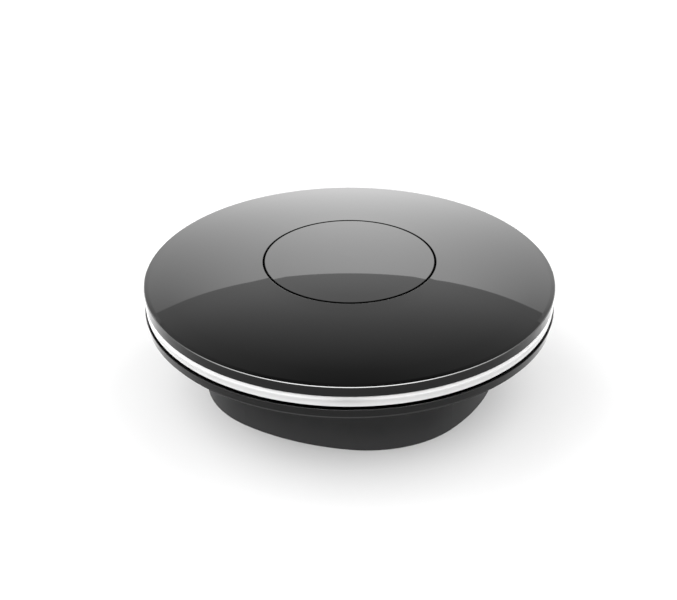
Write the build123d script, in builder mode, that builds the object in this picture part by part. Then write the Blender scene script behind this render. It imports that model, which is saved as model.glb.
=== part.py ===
from build123d import *
import math
import os

os.makedirs("parts", exist_ok=True)

# ---------------------------------------------------------------------------
# Infrared control module: a domed disc on a rounded-square base.
# Millimetres, +Z up, floor at z = 0, disc axis on Z, rear (cable side) at +Y.
# ---------------------------------------------------------------------------

# Disc stack, outer surfaces
cover_r = 55.0          # widest radius, at the cover's rim
z_top = 37.5            # crown of the dome
z_rim = 29.8            # sharp corner of dome and side band, before bevelling
rim_bevel = (0.22, 0.14)  # 45 degree bevel of that corner, along dome and band
rim_soft = 0.10         # radius that softens the bevel's two edges
rim_roll = (1.3, 18.0)  # the dome rolls off over this width before the rim, at this radius
z_cover_low = 26.9      # bottom of the cover's side band, top of the light ring
cover_low_r = 54.80
z_ring_low = 23.71      # bottom of the light ring
ring_top_r = 54.76
ring_low_r = 54.40
z_shell_top = 22.98     # top of the lower shell's side band
shell_top_r = 54.78
z_shell_low = 20.3      # underside of the disc
shell_low_r = 54.30
z_band_low = 20.65      # bottom of that band
lip = ((53.42, 20.40), (53.64, 19.84))  # small flared lip that runs round below the band
cover_wall = 2.0
dome_r = (cover_r**2 + (z_top - z_rim) ** 2) / (2 * (z_top - z_rim))
rim_slope = math.asin(cover_r / dome_r)
bevel_top = cover_r - rim_bevel[0] * math.cos(rim_slope)
bevel_low = (
    cover_r - rim_bevel[1] * (cover_r - cover_low_r) / (z_rim - z_cover_low),
    z_rim - rim_bevel[1],
)
z_ring_groove = 25.6    # fine line round the ring where its two lips meet
ring_groove = (0.10, 0.11)  # its depth and half width

# Centre button
hole_r = 23.08          # hole in the cover
cap_r = 22.62           # button cap
collar_r = 26.0
z_collar = 33.4         # flat stop face around the hole, inside
cap_flange_r = 25.2
z_cap_flange = (32.2, 33.35)
cap_skirt_in_r = 20.8
z_cap_under = 34.6
travel = 0.5

# Button carrier, springs and switch
z_carrier = (29.0, 30.4)
guide_ring_r = 17.0
guide_pin_r = 1.5
guide_gap = 0.05
guide_angles = (105, 225, 345)
spring_angles = (45, 165, 285)
spring_mean_r = 1.8
spring_wire_r = 0.2
spring_turns = 4.5
carrier_screw_ring_r = 28.5
z_plunger = (27.2, 30.9)
plunger_r = 1.7

# Base: rounded square of eight tangent arcs, its centre a little to the rear
base_side = 37.53       # centre to the middle of a side
base_corner = 39.71     # centre to a corner
base_corner_r = 28.8
base_shift_y = 1.75
base_wall = 2.2
base_draft = 1.0        # degrees, wider at the top
z_base_low = 0.06
z_pad = (0.0, 1.2)
z_plate = (1.2, 3.2)

# Boards and fasteners
z_tray = 22.3           # top of the disc's floor
z_main = (23.3, 24.9)
main_r = 47.0
z_power = (5.0, 6.6)
case_ring_r = 29.5
case_angles = (0, 90, 180, 270)
board_ring_r = 40.0
board_angles = (90, 210, 330)
post_d = 23.33          # base posts on the diagonals of the base
led_angles = tuple(22.5 + 45 * k for k in range(8))
led_axis_z = 27.4
led_back_r = 39.9
led_tilt = 6.0
thread_gap = 0.03

# Supply socket in the rear wall
pocket = (12.4, 8.2)
pocket_floor_y = 34.5
pocket_z = 7.87
aperture = (8.4, 3.4)
socket_size = (7.5, 5.1, 2.55)


def dome_z(r, inset=0.0):
    """Height of the dome's sphere, moved inwards by inset, at radius r."""
    return z_top - dome_r + math.sqrt((dome_r - inset) ** 2 - r**2)


roll_r = cover_r - rim_roll[0]
roll_slope = math.asin(roll_r / dome_r)


def roll_z(r):
    """Height of the dome's rolled-off edge at radius r, outside roll_r."""
    slope = math.asin(math.sin(roll_slope) + (r - roll_r) / rim_roll[1])
    return dome_z(roll_r) - rim_roll[1] * (math.cos(roll_slope) - math.cos(slope))


def polar(radius, angles):
    """Points on a circle, as x and y."""
    return [
        (radius * math.cos(math.radians(a)), radius * math.sin(math.radians(a)))
        for a in angles
    ]


def rounded_square(inset):
    """Edges of the base's outline, moved inwards by inset: four side arcs
    and four corner arcs, each tangent to the next."""
    c = (base_corner - base_corner_r) / math.sqrt(2)
    a = base_side - c
    side_r = (a**2 + c**2 - base_corner_r**2) / (2 * (a - base_corner_r))
    half = math.degrees(math.atan2(c, c - (base_side - side_r)))
    with BuildLine() as outline:
        for q in range(4):
            turn = math.radians(90 * q)
            sx = (base_side - side_r) * math.cos(turn)
            sy = (base_side - side_r) * math.sin(turn)
            cx = c * math.cos(turn) - c * math.sin(turn)
            cy = c * math.sin(turn) + c * math.cos(turn)
            CenterArc((sx, sy + base_shift_y), side_r - inset, 90 * q - half, 2 * half)
            CenterArc(
                (cx, cy + base_shift_y),
                base_corner_r - inset,
                90 * q + half,
                90 - 2 * half,
            )
    return outline.edges()


def ring_face(z):
    """Radius of the light ring's outer face at height z."""
    return ring_low_r + (ring_top_r - ring_low_r) * (z - z_ring_low) / (
        z_cover_low - z_ring_low
    )


def circles_at(block, radius, height, tol=0.03):
    """Circular edges of a block with this radius at this height."""
    return [
        e
        for e in block.edges().filter_by(GeomType.CIRCLE)
        if abs(e.radius - radius) < tol and abs(e.arc_center.Z - height) < tol
    ]


# ---------------------------------------------------------------------------
# Outer shells
# ---------------------------------------------------------------------------

# Top cover: domed shell with a side band, a stop collar around the button
# hole, four long screw bosses and three short ones.
with BuildPart() as top_cover:
    with BuildSketch(Plane.XZ):
        with BuildLine():
            ThreePointArc(
                (hole_r, dome_z(hole_r)),
                (40.0, dome_z(40.0)),
                (roll_r, dome_z(roll_r)),
            )
            ThreePointArc(
                (roll_r, dome_z(roll_r)),
                ((roll_r + bevel_top) / 2, roll_z((roll_r + bevel_top) / 2)),
                (bevel_top, roll_z(bevel_top)),
            )
            Polyline(
                (bevel_top, roll_z(bevel_top)),
                bevel_low,
                (cover_low_r, z_cover_low),
                (53.0, z_cover_low),
                (52.8, dome_z(52.8, cover_wall)),
            )
            ThreePointArc(
                (52.8, dome_z(52.8, cover_wall)),
                (40.0, dome_z(40.0, cover_wall)),
                (collar_r, dome_z(collar_r, cover_wall)),
            )
            Polyline(
                (collar_r, dome_z(collar_r, cover_wall)),
                (collar_r, z_collar),
                (hole_r, z_collar),
                (hole_r, dome_z(hole_r)),
            )
        make_face()
    revolve(axis=Axis.Z)
    fillet(circles_at(top_cover, bevel_top, roll_z(bevel_top)), rim_soft)
    fillet(circles_at(top_cover, bevel_low[0], bevel_low[1]), rim_soft)
    fillet(circles_at(top_cover, hole_r, dome_z(hole_r)), 0.16)
    fillet(circles_at(top_cover, cover_low_r, z_cover_low), 0.15)
    with BuildSketch(Plane.XY.offset(z_tray)):
        with PolarLocations(case_ring_r, 4):
            Circle(2.75)
    extrude(amount=34.3 - z_tray)
    with BuildSketch(Plane.XY.offset(z_carrier[1])):
        with PolarLocations(carrier_screw_ring_r, 3, start_angle=45):
            Circle(2.3)
    extrude(amount=34.3 - z_carrier[1])
    # gusset ribs from each long boss out to the dome
    for angle in case_angles:
        rib_plane = Plane.XZ.rotated((0, 0, angle))
        with BuildSketch(rib_plane):
            with BuildLine():
                Polyline(
                    (31.9, 30.2),
                    (34.6, 33.4),
                    (32.0, 34.2),
                    (31.9, 30.2),
                )
            make_face()
        extrude(amount=0.6, both=True)
    with BuildSketch(Plane.XY.offset(z_tray)):
        with PolarLocations(case_ring_r, 4):
            Circle(1.15)
    extrude(amount=9.0, mode=Mode.SUBTRACT)
    with BuildSketch(Plane.XY.offset(z_carrier[1])):
        with PolarLocations(carrier_screw_ring_r, 3, start_angle=45):
            Circle(0.95)
    extrude(amount=3.2, mode=Mode.SUBTRACT)
top_cover.part.label = "top_cover"
export_step(top_cover.part, "parts/top_cover.step")

# Button cap: its crown continues the dome. A flange below the collar keeps
# it in, three pins guide it and a ribbed stem reaches the switch.
with BuildPart() as button_cap:
    with BuildSketch(Plane.XZ):
        with BuildLine():
            ThreePointArc((0, z_top), (11.0, dome_z(11.0)), (cap_r, dome_z(cap_r)))
            Polyline(
                (cap_r, dome_z(cap_r)),
                (cap_r, z_cap_flange[1]),
                (cap_flange_r, z_cap_flange[1]),
                (cap_flange_r, z_cap_flange[0]),
                (cap_skirt_in_r, z_cap_flange[0]),
                (cap_skirt_in_r, z_cap_under),
                (0, z_cap_under),
                (0, z_top),
            )
        make_face()
    revolve(axis=Axis.Z)
    fillet(circles_at(button_cap, cap_r, dome_z(cap_r)), 0.14)
    # stem
    with BuildSketch(Plane.XY.offset(z_plunger[1] + 0.05)):
        Circle(2.0)
    extrude(amount=z_cap_under - z_plunger[1] - 0.05 + 0.2)
    with BuildSketch(Plane.XY.offset(32.0)):
        Rectangle(11.0, 0.9)
        Rectangle(0.9, 11.0)
    extrude(amount=z_cap_under - 32.0 + 0.2)
    # guide pins
    with BuildSketch(Plane.XY.offset(28.4)):
        with PolarLocations(guide_ring_r, 3, start_angle=guide_angles[0]):
            Circle(guide_pin_r)
    extrude(amount=z_cap_under - 28.4 + 0.2)
    # spring seats
    with BuildSketch(Plane.XY.offset(33.4)):
        with PolarLocations(guide_ring_r, 3, start_angle=spring_angles[0]):
            Circle(1.35)
    extrude(amount=z_cap_under - 33.4 + 0.2)
button_cap.part.label = "button_cap"
export_step(button_cap.part, "parts/button_cap.step")

# Button carrier: guide plate with collars for the cap's pins, three spring
# seats and three ears screwed to the cover.
with BuildPart() as button_carrier:
    with BuildSketch(Plane.XY.offset(z_carrier[0])):
        Circle(26.2)
        with PolarLocations(carrier_screw_ring_r, 3, start_angle=45):
            Circle(3.1)
        Circle(4.2, mode=Mode.SUBTRACT)
        with PolarLocations(11.0, 6, start_angle=15):
            SlotCenterToCenter(5.0, 3.2, rotation=90, mode=Mode.SUBTRACT)
    extrude(amount=z_carrier[1] - z_carrier[0])
    with BuildSketch(Plane.XY.offset(z_carrier[0] - 0.8)):
        Circle(26.2)
        Circle(24.9, mode=Mode.SUBTRACT)
    extrude(amount=0.8)
    with BuildSketch(Plane.XY.offset(z_carrier[1])):
        with PolarLocations(guide_ring_r, 3, start_angle=guide_angles[0]):
            Circle(2.7)
    extrude(amount=1.2)
    with BuildSketch(Plane.XY.offset(z_carrier[1])):
        with PolarLocations(guide_ring_r, 3, start_angle=spring_angles[0]):
            Circle(1.35)
    extrude(amount=0.8)
    with BuildSketch(Plane.XY.offset(z_carrier[0] - 1)):
        with PolarLocations(guide_ring_r, 3, start_angle=guide_angles[0]):
            Circle(guide_pin_r + guide_gap)
        with PolarLocations(carrier_screw_ring_r, 3, start_angle=45):
            Circle(1.15)
    extrude(amount=5, mode=Mode.SUBTRACT)
button_carrier.part.label = "button_carrier"
export_step(button_carrier.part, "parts/button_carrier.step")

# Return springs: three coils between the carrier and the cap.
spring_low = z_carrier[1] + spring_wire_r
spring_high = z_cap_under - spring_wire_r
with BuildPart() as spring_shape:
    with BuildLine() as coil_line:
        Helix(
            pitch=(spring_high - spring_low) / spring_turns,
            height=spring_high - spring_low,
            radius=spring_mean_r,
            center=(0, 0, spring_low),
        )
    with BuildSketch(Plane(coil_line.line @ 0, z_dir=coil_line.line % 0)):
        Circle(spring_wire_r)
    sweep(path=coil_line.line, is_frenet=True)
with BuildPart() as button_springs:
    with PolarLocations(guide_ring_r, 3, start_angle=spring_angles[0]):
        add(spring_shape.part)
button_springs.part.label = "button_springs"
export_step(button_springs.part, "parts/button_springs.step")

# Light ring: translucent band with an inner flange that faces the LEDs.
with BuildPart() as light_ring:
    with BuildSketch(Plane.XZ):
        with BuildLine():
            Polyline(
                (ring_top_r, z_cover_low),
                (51.0, z_cover_low),
                (51.0, 26.4),
                (48.0, 26.4),
                (48.0, 24.4),
                (51.0, 24.4),
                (51.0, z_ring_low),
                (ring_low_r, z_ring_low),
                (ring_face(z_ring_groove - ring_groove[1]), z_ring_groove - ring_groove[1]),
                (ring_face(z_ring_groove) - ring_groove[0], z_ring_groove),
                (ring_face(z_ring_groove + ring_groove[1]), z_ring_groove + ring_groove[1]),
                (ring_top_r, z_cover_low),
            )
        make_face()
    revolve(axis=Axis.Z)
    fillet(circles_at(light_ring, ring_top_r, z_cover_low), 0.3)
    fillet(circles_at(light_ring, ring_low_r, z_ring_low), 0.3)
light_ring.part.label = "light_ring"
export_step(light_ring.part, "parts/light_ring.step")

# Ring reflector: white spacer under the ring's flange.
with BuildPart() as ring_reflector:
    with BuildSketch(Plane.XZ):
        with BuildLine():
            Polyline(
                (48.1, z_tray),
                (50.9, z_tray),
                (50.9, 24.4),
                (49.2, 24.4),
                (48.1, 23.3),
                (48.1, z_tray),
            )
        make_face()
    revolve(axis=Axis.Z)
ring_reflector.part.label = "ring_reflector"
export_step(ring_reflector.part, "parts/ring_reflector.step")

# Lower shell: tray with the side band and the ledge that carries the ring,
# and the hollow rounded-square base below it in one moulding.
with BuildPart() as lower_shell:
    with BuildSketch(Plane.XY.offset(z_base_low)):
        make_face(rounded_square(0))
    extrude(amount=z_shell_low - z_base_low + 0.5, taper=-base_draft)
    with BuildSketch(Plane.XY.offset(z_base_low)):
        make_face(rounded_square(base_wall))
    extrude(
        amount=z_shell_low - z_base_low + 0.5, taper=-base_draft, mode=Mode.SUBTRACT
    )
    with BuildSketch(Plane.XZ):
        with BuildLine():
            Polyline(
                (0, z_shell_low),
                (lip[0][0] - 0.8, z_shell_low),
                (lip[1][0] - 0.3, lip[1][1]),
                lip[1],
                lip[0],
                (shell_low_r, z_band_low),
                (shell_top_r, z_shell_top),
                (53.2, z_shell_top),
                (53.2, z_ring_low),
                (51.4, z_ring_low),
                (51.4, z_tray),
                (0, z_tray),
                (0, z_shell_low),
            )
        make_face()
    revolve(axis=Axis.Z)
    fillet(circles_at(lower_shell, shell_top_r, z_shell_top), 0.12)
    fillet(circles_at(lower_shell, lip[1][0], lip[1][1]), 0.08)
    # posts for the bottom plate
    with BuildSketch(Plane.XY.offset(z_plate[1])):
        with Locations((0, base_shift_y)):
            with GridLocations(2 * post_d, 2 * post_d, 2, 2):
                Circle(3.2)
    extrude(amount=z_shell_low - z_plate[1] + 0.5)
    with BuildSketch(Plane.XY.offset(z_plate[1])):
        with Locations((0, base_shift_y)):
            with GridLocations(2 * post_d, 2 * post_d, 2, 2):
                Circle(1.15)
    extrude(amount=10.0, mode=Mode.SUBTRACT)
    # block behind the supply socket's pocket, inside the wall
    with BuildSketch(Plane.XY.offset(3.3)):
        with Locations((0, (32.3 + 37.0) / 2)):
            Rectangle(16.2, 37.0 - 32.3)
    extrude(amount=10.7)
    # board posts and ribs on the tray
    with BuildSketch(Plane.XY.offset(z_tray - 0.2)):
        with PolarLocations(board_ring_r, 3, start_angle=board_angles[0]):
            Circle(3.0)
    extrude(amount=z_main[0] - z_tray + 0.2)
    with BuildSketch(Plane.XY.offset(z_tray - 0.2)):
        with PolarLocations(41.0, 8, start_angle=0):
            Rectangle(9.0, 1.2)
    extrude(amount=0.7)
    with BuildSketch(Plane.XY.offset(20.8)):
        with PolarLocations(board_ring_r, 3, start_angle=board_angles[0]):
            Circle(0.95)
    extrude(amount=3, mode=Mode.SUBTRACT)
    # case screw holes and the window for the board connector
    with BuildSketch(Plane.XY.offset(z_shell_low - 1)):
        with PolarLocations(case_ring_r, 4):
            Circle(1.4)
        with Locations((9.0, -14.0)):
            RectangleRounded(12.4, 7.2, 0.8)
    extrude(amount=4, mode=Mode.SUBTRACT)
    # the pocket and the socket's aperture
    with BuildSketch(Plane.XZ.offset(-pocket_floor_y)):
        with Locations((0, pocket_z)):
            RectangleRounded(pocket[0], pocket[1], 1.6)
    extrude(amount=-8.0, mode=Mode.SUBTRACT)
    with BuildSketch(Plane.XZ.offset(-31.0)):
        with Locations((0, pocket_z)):
            RectangleRounded(aperture[0], aperture[1], 0.7)
    extrude(amount=-6.0, mode=Mode.SUBTRACT)
lower_shell.part.label = "lower_shell"
export_step(lower_shell.part, "parts/lower_shell.step")

# Bottom plate: closes the base, with board standoffs and sunk screw holes.
with BuildPart() as bottom_plate:
    with BuildSketch(Plane.XY.offset(z_plate[0])):
        make_face(rounded_square(base_wall + 0.1))
    extrude(amount=z_plate[1] - z_plate[0])
    with BuildSketch(Plane.XY.offset(z_plate[1])):
        with Locations((-16.0, -22.5), (16.0, -22.5), (-16.0, 20.0), (16.0, 20.0)):
            Circle(2.6)
    extrude(amount=z_power[0] - z_plate[1])
    with BuildSketch(Plane.XY.offset(2.0)):
        with Locations((-16.0, -22.5), (16.0, -22.5), (-16.0, 20.0), (16.0, 20.0)):
            Circle(0.95)
    extrude(amount=4, mode=Mode.SUBTRACT)
    with BuildSketch(Plane.XY.offset(z_plate[0])):
        with Locations((0, base_shift_y)):
            with GridLocations(2 * post_d, 2 * post_d, 2, 2):
                Circle(1.4)
    extrude(amount=3, mode=Mode.SUBTRACT)
    with BuildSketch(Plane.XY.offset(z_plate[0])):
        with Locations((0, base_shift_y)):
            with GridLocations(2 * post_d, 2 * post_d, 2, 2):
                Circle(2.4)
    extrude(amount=1.2, mode=Mode.SUBTRACT)
bottom_plate.part.label = "bottom_plate"
export_step(bottom_plate.part, "parts/bottom_plate.step")

# Foot pad: rubber sheet that hides the screws and stands on the table.
with BuildPart() as foot_pad:
    with BuildSketch(Plane.XY.offset(z_pad[0])):
        make_face(rounded_square(base_wall + 0.7))
    extrude(amount=z_pad[1] - z_pad[0])
    with BuildSketch(Plane.XY.offset(z_pad[0])):
        make_face(rounded_square(base_wall + 8.0))
        make_face(rounded_square(base_wall + 9.2), mode=Mode.SUBTRACT)
    extrude(amount=0.3, mode=Mode.SUBTRACT)
foot_pad.part.label = "foot_pad"
export_step(foot_pad.part, "parts/foot_pad.step")

# ---------------------------------------------------------------------------
# Fasteners: self-tapping screws with a cross recess
# ---------------------------------------------------------------------------

# Case screws, from below through the tray into the cover's long bosses.
with BuildPart() as case_screws:
    with Locations(*[(x, y, z_shell_low - 1.6) for x, y in polar(case_ring_r, case_angles)]):
        Cylinder(2.2, 1.6, align=(Align.CENTER, Align.CENTER, Align.MIN))
        Cylinder(
            1.15 - thread_gap, 11.4, align=(Align.CENTER, Align.CENTER, Align.MIN)
        )
        Box(2.4, 0.55, 0.9, align=(Align.CENTER, Align.CENTER, Align.MIN), mode=Mode.SUBTRACT)
        Box(0.55, 2.4, 0.9, align=(Align.CENTER, Align.CENTER, Align.MIN), mode=Mode.SUBTRACT)
case_screws.part.label = "case_screws"
export_step(case_screws.part, "parts/case_screws.step")

# Base screws, sunk in the bottom plate.
with BuildPart() as base_screws:
    with Locations((0, base_shift_y, z_plate[0] + 0.1)):
        with GridLocations(2 * post_d, 2 * post_d, 2, 2):
            Cylinder(2.2, 1.1, align=(Align.CENTER, Align.CENTER, Align.MIN))
            Cylinder(
                1.15 - thread_gap, 9.5, align=(Align.CENTER, Align.CENTER, Align.MIN)
            )
            Box(2.4, 0.55, 0.7, align=(Align.CENTER, Align.CENTER, Align.MIN), mode=Mode.SUBTRACT)
            Box(0.55, 2.4, 0.7, align=(Align.CENTER, Align.CENTER, Align.MIN), mode=Mode.SUBTRACT)
base_screws.part.label = "base_screws"
export_step(base_screws.part, "parts/base_screws.step")

# Carrier screws, from below into the cover's short bosses.
with BuildPart() as carrier_screws:
    with Locations(
        *[(x, y, z_carrier[0] - 1.1) for x, y in polar(carrier_screw_ring_r, spring_angles)]
    ):
        Cylinder(1.8, 1.1, align=(Align.CENTER, Align.CENTER, Align.MIN))
        Cylinder(0.95 - thread_gap, 5.4, align=(Align.CENTER, Align.CENTER, Align.MIN))
        Box(2.0, 0.45, 0.7, align=(Align.CENTER, Align.CENTER, Align.MIN), mode=Mode.SUBTRACT)
        Box(0.45, 2.0, 0.7, align=(Align.CENTER, Align.CENTER, Align.MIN), mode=Mode.SUBTRACT)
carrier_screws.part.label = "carrier_screws"
export_step(carrier_screws.part, "parts/carrier_screws.step")

# Board screws, from above through the main board into the tray's posts.
with BuildPart() as board_screws:
    with Locations(*[(x, y, z_main[1] + 1.2) for x, y in polar(board_ring_r, board_angles)]):
        Cylinder(1.9, 1.2, align=(Align.CENTER, Align.CENTER, Align.MAX))
        Cylinder(0.95 - thread_gap, 5.1, align=(Align.CENTER, Align.CENTER, Align.MAX))
        Box(2.0, 0.45, 0.7, align=(Align.CENTER, Align.CENTER, Align.MAX), mode=Mode.SUBTRACT)
        Box(0.45, 2.0, 0.7, align=(Align.CENTER, Align.CENTER, Align.MAX), mode=Mode.SUBTRACT)
board_screws.part.label = "board_screws"
export_step(board_screws.part, "parts/board_screws.step")

# Power board screws, from above into the bottom plate's standoffs.
with BuildPart() as power_board_screws:
    with Locations(
        (-16.0, -22.5, z_power[1] + 1.2),
        (16.0, -22.5, z_power[1] + 1.2),
        (-16.0, 20.0, z_power[1] + 1.2),
        (16.0, 20.0, z_power[1] + 1.2),
    ):
        Cylinder(1.9, 1.2, align=(Align.CENTER, Align.CENTER, Align.MAX))
        Cylinder(0.95 - thread_gap, 5.5, align=(Align.CENTER, Align.CENTER, Align.MAX))
        Box(2.0, 0.45, 0.7, align=(Align.CENTER, Align.CENTER, Align.MAX), mode=Mode.SUBTRACT)
        Box(0.45, 2.0, 0.7, align=(Align.CENTER, Align.CENTER, Align.MAX), mode=Mode.SUBTRACT)
power_board_screws.part.label = "power_board_screws"
export_step(power_board_screws.part, "parts/power_board_screws.step")

# ---------------------------------------------------------------------------
# Main board and what it carries
# ---------------------------------------------------------------------------

header_at = (9.0, -14.0)

with BuildPart() as main_board:
    with BuildSketch(Plane.XY.offset(z_main[0])):
        Circle(main_r)
        with PolarLocations(case_ring_r, 4):
            Circle(3.1, mode=Mode.SUBTRACT)
        with PolarLocations(board_ring_r, 3, start_angle=board_angles[0]):
            Circle(1.1, mode=Mode.SUBTRACT)
        for angle in led_angles:
            with Locations(Location((0, 0, 0), (0, 0, angle))):
                with Locations((led_back_r - 1.3, 1.27), (led_back_r - 1.3, -1.27)):
                    Circle(0.45, mode=Mode.SUBTRACT)
        with PolarLocations(main_r, 3, start_angle=45):
            Circle(1.4, mode=Mode.SUBTRACT)
    extrude(amount=z_main[1] - z_main[0])
main_board.part.label = "main_board"
export_step(main_board.part, "parts/main_board.step")

# Infrared LEDs: 3 mm lamps laid over, aimed outwards and a little up.
with BuildPart() as lamp_shape:
    with BuildSketch(Plane.XZ):
        with BuildLine():
            Polyline((0, 0), (1.7, 0), (1.7, 0.9), (1.5, 0.9), (1.5, 3.6))
            RadiusArc((1.5, 3.6), (0, 5.1), -1.5)
            Line((0, 5.1), (0, 0))
        make_face()
    revolve(axis=Axis.Z)
with BuildPart() as ir_leds:
    for angle in led_angles:
        x, y = polar(led_back_r, (angle,))[0]
        with Locations(
            Location((x, y, led_axis_z), (0, 0, angle)) * Location((0, 0, 0), (0, 90 - led_tilt, 0))
        ):
            add(lamp_shape.part)
ir_leds.part.label = "ir_leds"
export_step(ir_leds.part, "parts/ir_leds.step")

with BuildPart() as ir_led_leads:
    for angle in led_angles:
        with Locations(Location((0, 0, 0), (0, 0, angle))):
            with Locations(
                (led_back_r - 1.3, 1.27, 22.6),
                (led_back_r - 1.3, -1.27, 22.6),
            ):
                Box(0.5, 0.5, led_axis_z + 0.25 - 22.6, align=(Align.CENTER, Align.CENTER, Align.MIN))
            with Locations(
                (led_back_r - 1.55, 1.27, led_axis_z),
                (led_back_r - 1.55, -1.27, led_axis_z),
            ):
                Box(1.51, 0.5, 0.5, align=(Align.MIN, Align.CENTER, Align.CENTER))
ir_led_leads.part.label = "ir_led_leads"
export_step(ir_led_leads.part, "parts/ir_led_leads.step")

# Infrared receiver at the front edge of the board, lens facing forwards.
with BuildPart() as ir_receiver:
    with BuildSketch(Plane.XY.offset(z_main[1] + 0.2)):
        with Locations((0, -40.6)):
            Rectangle(6.8, 2.8)
    extrude(amount=3.2)
    fillet(ir_receiver.edges().filter_by(Axis.Z), 0.25)
    with Locations((0, -42.0, z_main[1] + 1.9)):
        Sphere(1.3)
ir_receiver.part.label = "ir_receiver"
export_step(ir_receiver.part, "parts/ir_receiver.step")

with BuildPart() as ir_receiver_leads:
    with Locations((-2.55, -40.6, z_main[1]), (-0.85, -40.6, z_main[1]), (0.85, -40.6, z_main[1]), (2.55, -40.6, z_main[1])):
        Box(0.6, 2.2, 0.2, align=(Align.CENTER, Align.CENTER, Align.MIN))
    with Locations((-2.55, -38.85, z_main[1]), (-0.85, -38.85, z_main[1]), (0.85, -38.85, z_main[1]), (2.55, -38.85, z_main[1])):
        Box(0.6, 1.4, 0.2, align=(Align.CENTER, Align.CENTER, Align.MIN))
ir_receiver_leads.part.label = "ir_receiver_leads"
export_step(ir_receiver_leads.part, "parts/ir_receiver_leads.step")

# White side-facing LEDs around the board's edge, for the light ring.
with BuildPart() as ring_leds:
    for k in range(16):
        with Locations(Location((0, 0, 0), (0, 0, 11.25 + 22.5 * k))):
            with Locations((45.2, 0, z_main[1])):
                Box(1.4, 3.0, 1.0, align=(Align.MIN, Align.CENTER, Align.MIN))
            with Locations((46.6, 0, z_main[1] + 0.5)):
                Box(0.1, 2.2, 0.6, align=(Align.MIN, Align.CENTER, Align.CENTER))
ring_leds.part.label = "ring_leds"
export_step(ring_leds.part, "parts/ring_leds.step")

# Tact switch under the button's stem.
z_switch = z_main[1]
with BuildPart() as tact_switch_body:
    with BuildSketch(Plane.XY.offset(z_switch)):
        RectangleRounded(6.0, 6.0, 0.4)
    extrude(amount=3.3)
    with BuildSketch(Plane.XY.offset(z_switch + 1.5)):
        Circle(2.0)
    extrude(amount=2, mode=Mode.SUBTRACT)
tact_switch_body.part.label = "tact_switch_body"
export_step(tact_switch_body.part, "parts/tact_switch_body.step")

with BuildPart() as tact_switch_frame:
    with BuildSketch(Plane.XY.offset(z_switch + 3.3)):
        Rectangle(6.0, 6.0)
        Circle(plunger_r + 0.05, mode=Mode.SUBTRACT)
    extrude(amount=0.2)
    with Locations((0, 3.1, z_switch + 1.0), (0, -3.1, z_switch + 1.0)):
        Box(3.4, 0.2, 2.5, align=(Align.CENTER, Align.CENTER, Align.MIN))
    for sx in (-1, 1):
        for sy in (-1, 1):
            with Locations((sx * 3.1, sy * 2.25, z_switch)):
                Box(0.2, 0.7, 1.6, align=(Align.CENTER, Align.CENTER, Align.MIN))
            with Locations((sx * 3.5, sy * 2.25, z_switch)):
                Box(1.0, 0.7, 0.2, align=(Align.CENTER, Align.CENTER, Align.MIN))
tact_switch_frame.part.label = "tact_switch_frame"
export_step(tact_switch_frame.part, "parts/tact_switch_frame.step")

with BuildPart() as switch_plunger:
    with BuildSketch(Plane.XY.offset(z_plunger[0])):
        Circle(plunger_r)
    extrude(amount=z_plunger[1] - z_plunger[0])
    fillet(circles_at(switch_plunger, plunger_r, z_plunger[1]), 0.2)
switch_plunger.part.label = "switch_plunger"
export_step(switch_plunger.part, "parts/switch_plunger.step")

# Wireless module: its own small board with half-round edge contacts, and a
# shield can.
with BuildPart() as wifi_module:
    with BuildSketch(Plane.XY.offset(z_main[1])):
        with Locations((-16.6, 1.0)):
            Rectangle(18.0, 16.0)
        with Locations(*[(-16.6 - 8.0 + 1.6 * k, 1.0 - 8.0) for k in range(9)]):
            Circle(0.35, mode=Mode.SUBTRACT)
        with Locations(*[(-16.6 - 8.0 + 1.6 * k, 1.0 + 8.0) for k in range(9)]):
            Circle(0.35, mode=Mode.SUBTRACT)
    extrude(amount=0.8)
wifi_module.part.label = "wifi_module"
export_step(wifi_module.part, "parts/wifi_module.step")

with BuildPart() as wifi_shield:
    with BuildSketch(Plane.XY.offset(z_main[1] + 0.8)):
        with Locations((-14.8, 1.0)):
            RectangleRounded(12.0, 13.0, 0.5)
    extrude(amount=1.8)
    with BuildSketch(Plane.XY.offset(z_main[1] + 0.8)):
        with Locations((-14.8, 1.0)):
            RectangleRounded(11.6, 12.6, 0.35)
    extrude(amount=1.6, mode=Mode.SUBTRACT)
wifi_shield.part.label = "wifi_shield"
export_step(wifi_shield.part, "parts/wifi_shield.step")

# Controller and its gull-wing leads.
chip_at = (15.5, 9.0)
with BuildPart() as controller_chip:
    with BuildSketch(Plane.XY.offset(z_main[1] + 0.1)):
        with Locations(chip_at):
            RectangleRounded(7.0, 7.0, 0.2)
    extrude(amount=1.3)
    with BuildSketch(Plane.XY.offset(z_main[1] + 1.3)):
        with Locations((chip_at[0] - 2.6, chip_at[1] + 2.6)):
            Circle(0.35)
    extrude(amount=0.3, mode=Mode.SUBTRACT)
controller_chip.part.label = "controller_chip"
export_step(controller_chip.part, "parts/controller_chip.step")

with BuildPart() as chip_leads:
    for turn in (0, 90, 180, 270):
        with Locations(Location((chip_at[0], chip_at[1], z_main[1]), (0, 0, turn))):
            with Locations(*[(3.5, -2.8 + 0.8 * k, 0.6) for k in range(8)]):
                Box(0.45, 0.35, 0.18, align=(Align.MIN, Align.CENTER, Align.MIN))
            with Locations(*[(3.77, -2.8 + 0.8 * k, 0.0) for k in range(8)]):
                Box(0.18, 0.35, 0.78, align=(Align.MIN, Align.CENTER, Align.MIN))
            with Locations(*[(3.77, -2.8 + 0.8 * k, 0.0) for k in range(8)]):
                Box(0.78, 0.35, 0.18, align=(Align.MIN, Align.CENTER, Align.MIN))
chip_leads.part.label = "chip_leads"
export_step(chip_leads.part, "parts/chip_leads.step")

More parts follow.
